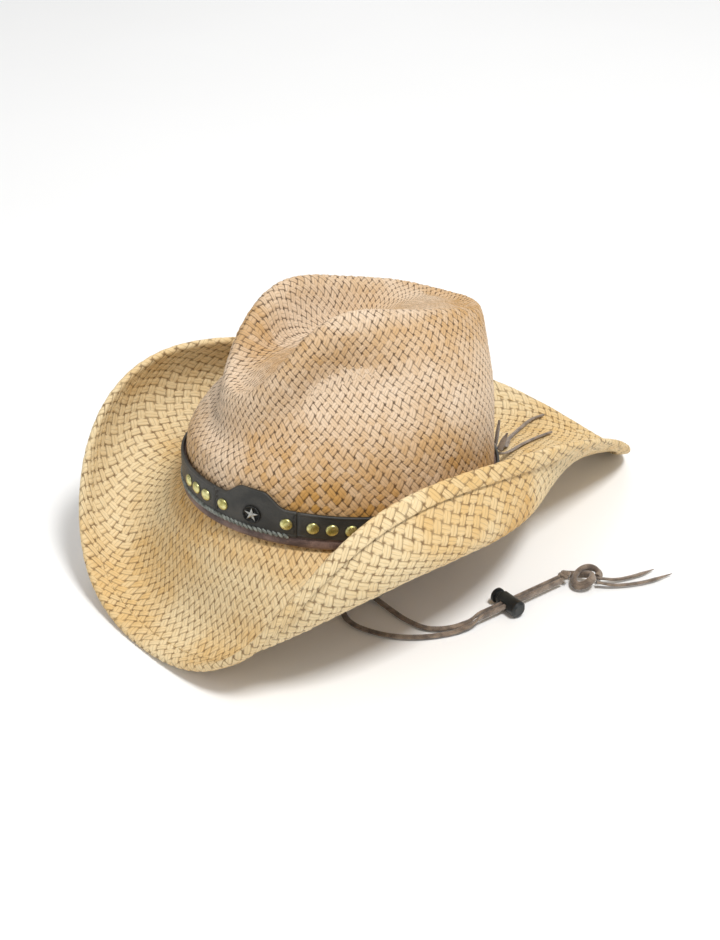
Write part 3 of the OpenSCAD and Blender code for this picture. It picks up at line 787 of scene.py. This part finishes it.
swept_strap("base_strap_leather", base_section, 0, 360, 240, brown_leather,
                   ["base_strap"])
swept_strap("side_strap_left_leather", lambda a: leather_section(9.5, 26), 41.65,
                         161, 90, black_leather, ["side_strap_left"])
swept_strap("side_strap_right_leather", lambda a: leather_section(9.5, 26), -191,
                          8.35, 150, black_leather, ["side_strap_right"])
swept_strap("front_plate_leather", lambda a: leather_section(8.5, plate_high(a)), 8.5,
                    41.5, 66, black_leather, ["front_plate"])
sweatband = swept_strap("sweatband_cloth_band", sweat_section, 0, 360, 180, band_cloth,
                        ["sweatband"])

# %% [markdown]
# Small hardware sits square to the band. One matrix does it: the first axis runs along the band,
# the second up it, and the third out of it, so a piece is made at the origin and then sent there.

# %% Hardware on the band


def on_band(a, up, out):
    a = np.asarray(float(a))
    place = wall_point(a, up, out) * MM
    run = Vector(unit(wall_point(a + 0.5, up, out) - wall_point(a - 0.5, up, out)))
    rise = Vector(unit(wall_point(a, up + 1, out) - wall_point(a, up - 1, out)))
    face = run.cross(rise).normalized()
    rise = face.cross(run)
    return Matrix((run, rise, face)).transposed().to_4x4(), Vector(place)


def finished(name, bm, material, nodes, smooth=True):
    bmesh.ops.recalc_face_normals(bm, faces=bm.faces)
    mesh = bpy.data.meshes.new(name)
    bm.to_mesh(mesh)
    bm.free()
    piece = keep(name, mesh, material, smooth=smooth)
    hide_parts(*nodes)
    return piece


STUD_OFFSETS, STUD_UP, STUD_R = (12.8, 22, 28.5, 35), 17, 3.9
stud_bm = bmesh.new()
bmesh.ops.create_uvsphere(stud_bm, u_segments=28, v_segments=14, radius=1.0)
cut = bmesh.ops.bisect_plane(stud_bm, geom=stud_bm.verts[:] + stud_bm.edges[:] + stud_bm.faces[:],
                             plane_co=(0, 0, 0.02), plane_no=(0, 0, -1), clear_outer=True)
rim_edges = [e for e in cut["geom_cut"] if isinstance(e, bmesh.types.BMEdge)]
skirt = bmesh.ops.extrude_edge_only(stud_bm, edges=rim_edges)["geom"]
bmesh.ops.translate(stud_bm, vec=(0, 0, -0.2),
                    verts=[v for v in skirt if isinstance(v, bmesh.types.BMVert)])
bmesh.ops.holes_fill(stud_bm, edges=[e for e in stud_bm.edges if e.is_boundary], sides=0)
bmesh.ops.scale(stud_bm, vec=(STUD_R * MM, STUD_R * MM, 1.7 * MM), verts=stud_bm.verts)
stud_shape = bpy.data.meshes.new("one stud")
stud_bm.to_mesh(stud_shape)
stud_bm.free()
bm = bmesh.new()
for offset in [-o for o in STUD_OFFSETS] + list(STUD_OFFSETS):
    start = len(bm.verts)
    bm.from_mesh(stud_shape)
    bm.verts.ensure_lookup_table()
    turn, place = on_band(25 + offset, STUD_UP, LEATHER_FACE + 0.25)
    bmesh.ops.transform(bm, matrix=Matrix.Translation(place) @ turn, verts=bm.verts[start:])
finished("studs_domed", bm, brass, ["studs"])

# %% [markdown]
# The concho is a dished disc with a raised star. The disc is a circle, extruded and inset twice:
# the first inset keeps a lip, the second sinks the middle. A star is a ten-sided circle with every
# other corner pulled in, and poking its top face lifts a peak, so its arms catch the light.

# %% Star concho
bm = bmesh.new()
CONCHO_R = 6.0
bmesh.ops.create_circle(bm, cap_ends=True, cap_tris=False, segments=56,
                        radius=CONCHO_R * MM)
grown = bmesh.ops.extrude_face_region(bm, geom=bm.faces[:])["geom"]
top = [g for g in grown if isinstance(g, bmesh.types.BMFace)]
bmesh.ops.translate(bm, vec=(0, 0, 1.0 * MM), verts=[g for g in grown
                                                    if isinstance(g, bmesh.types.BMVert)])
bmesh.ops.inset_region(bm, faces=top, thickness=0.9 * MM, depth=0.0)
bmesh.ops.inset_region(bm, faces=top, thickness=0.15 * MM, depth=-0.55 * MM)
turn, place = on_band(25, 18, LEATHER_FACE + 0.1)
bmesh.ops.transform(bm, matrix=Matrix.Translation(place) @ turn, verts=bm.verts)
finished("concho_disc", bm, dark_metal, ["concho"])

bm = bmesh.new()
star = bmesh.ops.create_circle(bm, cap_ends=True, segments=10, radius=4.8 * MM)["verts"]
for k, v in enumerate(star):
    if k % 2:
        v.co *= 0.36
bmesh.ops.translate(bm, vec=(0, 0, 0.5 * MM), verts=star)
rise = bmesh.ops.extrude_face_region(bm, geom=bm.faces[:])["geom"]
star_top = [g for g in rise if isinstance(g, bmesh.types.BMFace)]
bmesh.ops.translate(bm, vec=(0, 0, 0.35 * MM),
                    verts=[g for g in rise if isinstance(g, bmesh.types.BMVert)])
peak = bmesh.ops.poke(bm, faces=star_top)["verts"]
bmesh.ops.translate(bm, vec=(0, 0, 0.8 * MM), verts=peak)
bmesh.ops.transform(bm, matrix=Matrix.Translation(place) @ turn, verts=bm.verts)
finished("concho_star", bm, bright_metal, ["concho"], smooth=False)

# %% [markdown]
# Whip lacing is one cord wound over an edge. Only its slanted outer turns show, so each turn is one
# small stretched sphere, leaning the same way and touching the next.

# %% Whip lacing
bm = bmesh.new()
LACING_PITCH = 1.9
for a in np.arange(-65, 38, LACING_PITCH):
    loop_verts = bmesh.ops.create_uvsphere(bm, u_segments=8, v_segments=6, radius=1.0)["verts"]
    bmesh.ops.scale(bm, vec=(0.0011, 0.0026, 0.0011), verts=loop_verts)
    bmesh.ops.rotate(bm, cent=(0, 0, 0), matrix=Matrix.Rotation(math.radians(52), 3, "Z"),
                     verts=loop_verts)
    turn, place = on_band(a, 8.8, LEATHER_FACE - 0.05)
    bmesh.ops.transform(bm, matrix=Matrix.Translation(place) @ turn, verts=loop_verts)
finished("whip_lacing", bm, grey_lacing, ["edge_lacing"])

# %% [markdown]
# The tie closes the band behind the wearer's left ear: a wrapped knot, two leaf-shaped tips and two
# flat tails that fall on the brim and lie along it.

# %% Back tie
KNOT_PLACE = wall_point(165, 14, 6.45)
TAIL_LIFT = 1.9


def on_brim(a, s):
    run = brim_point(a + 0.5, s) - brim_point(a - 0.5, s)
    out = brim_point(a, s + 0.01) - brim_point(a, s - 0.01)
    face = unit(np.cross(run, out))
    return brim_point(a, s) + face * TAIL_LIFT * (1 if face[2] > 0 else -1)


TAIL_CURVED = [KNOT_PLACE + (-1, 3, -1), (17, 121, 57.5), (8, 131, 50.5), on_brim(180, 0.27),
               on_brim(187.5, 0.38), on_brim(195, 0.53), on_brim(200.5, 0.67),
               on_brim(203.5, 0.81), on_brim(203, 0.9)]
TAIL_STRAIGHT = [KNOT_PLACE + (2, 3, -3), (22.5, 120, 55), (15, 130.5, 49), on_brim(176.5, 0.28),
                 on_brim(181, 0.38), on_brim(188.5, 0.56), on_brim(194, 0.74)]
bm = bmesh.new()
for k, (dx, dz, size) in enumerate([(-2.2, 1.6, 3.4), (0.4, -0.2, 3.9), (2.6, -2.4, 3.3),
                                    (0.8, 2.6, 2.8)]):
    wrap = bmesh.ops.create_uvsphere(bm, u_segments=20, v_segments=12, radius=1.0)["verts"]
    bmesh.ops.scale(bm, vec=(size * MM, 2.9 * MM, size * 0.72 * MM), verts=wrap)
    bmesh.ops.rotate(bm, cent=(0, 0, 0), matrix=Matrix.Rotation(math.radians(35 + 20 * k), 3, "Y"),
                     verts=wrap)
    bmesh.ops.translate(bm, vec=Vector(KNOT_PLACE) * MM + Vector((dx, 0, dz)) * MM, verts=wrap)
finished("tie_knot_wrapped", bm, suede, ["tie_knot"])

for name, route, node_name in (("tie_tail_curved_suede", TAIL_CURVED, "tie_tail_curved"),
                               ("tie_tail_straight_suede", TAIL_STRAIGHT, "tie_tail_straight")):
    path = catmull([[float(c) * MM for c in p] for p in route], 6)
    piece = flat_lace(name, path, lambda part, place: math.radians(65), suede, 0.0034, 0.0015)
    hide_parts(node_name)
    print(name, round(length_of(path) * 1000), "mm")


def leaf(bm, start, turn, rise, length, width):
    made = bmesh.ops.create_grid(bm, x_segments=14, y_segments=4, size=1.0)["verts"]
    for v in made:
        along, side = (v.co.x + 1) / 2, v.co.y
        swell = 0.55 + 0.45 * math.sin(min(along * 2.4, 1.57))
        half = width / 2 * (1 - along ** 2.2) * swell
        v.co = Vector((along * length, side * 0.5 * side * side + 0.9 * along * along, side * half))
    bmesh.ops.scale(bm, vec=(MM, MM, MM), verts=made)
    turned = Matrix.Rotation(math.radians(turn), 3, "Z") @ Matrix.Rotation(
        math.radians(-rise), 3, "Y")
    bmesh.ops.rotate(bm, cent=(0, 0, 0), matrix=turned, verts=made)
    bmesh.ops.translate(bm, vec=Vector(start) * MM, verts=made)


bm = bmesh.new()
leaf(bm, KNOT_PLACE + (0, 3.4, 3), 125, 50, 17, 4.5)
leaf(bm, KNOT_PLACE + (4, 3.2, 0), 100, 50, 13, 6.5)
bmesh.ops.remove_doubles(bm, verts=bm.verts, dist=2e-5)
bmesh.ops.solidify(bm, geom=bm.faces[:], thickness=0.0013)
finished("tie_leaves", bm, suede, ["tie_leaf_tips"])

# %% [markdown]
# A product picture needs very little: a plain pale floor, one soft light high on the right, two weak
# ones that open the shadows, and an even sky. The floor lies a hair below the hat, so that the two
# never share a plane.

# %% Floor and light
FLOOR_DROP = 0.0004
bm = bmesh.new()
bmesh.ops.create_grid(bm, x_segments=1, y_segments=1, size=6.0)
bmesh.ops.translate(bm, vec=(0, 0, -FLOOR_DROP), verts=bm.verts)
floor_mesh = bpy.data.meshes.new("floor")
bm.to_mesh(floor_mesh)
bm.free()
floor = bpy.data.objects.new("floor", floor_mesh)
bpy.context.collection.objects.link(floor)
floor_paint, tree, shader = finish_named("pale floor", Roughness=0.9)
floor_patch = use(tree, wear_group, {"Where": coordinates(tree), "Patches": 2.0,
                                     "Grain size": 60.0})["Patch"]
plug(tree, shader, "Base Color", blend(tree, floor_patch, shade(244, 244, 242),
                                       shade(250, 250, 249)))
floor_mesh.materials.append(floor_paint)


def soft_light(name, place, size, power, aim=(0, 0.02, 0.08)):
    lamp = bpy.data.lights.new(name, "AREA")
    lamp.size, lamp.energy = size, power
    held = bpy.data.objects.new(name, lamp)
    bpy.context.collection.objects.link(held)
    held.location = place
    held.rotation_euler = (Vector(place) - Vector(aim)).to_track_quat("Z", "Y").to_euler()


soft_light("key", (1.1, 0.0, 2.2), 0.5, 44)
soft_light("side", (0.2, -2.0, 1.2), 1.4, 5)
soft_light("back", (-1.2, 1.2, 1.6), 1.2, 9)
sky = bpy.data.worlds.new("sky")
bpy.context.scene.world = sky
sky.use_nodes = True
sky.node_tree.nodes["Background"].inputs[0].default_value = shade(250, 250, 252)
sky.node_tree.nodes["Background"].inputs[1].default_value = 0.5
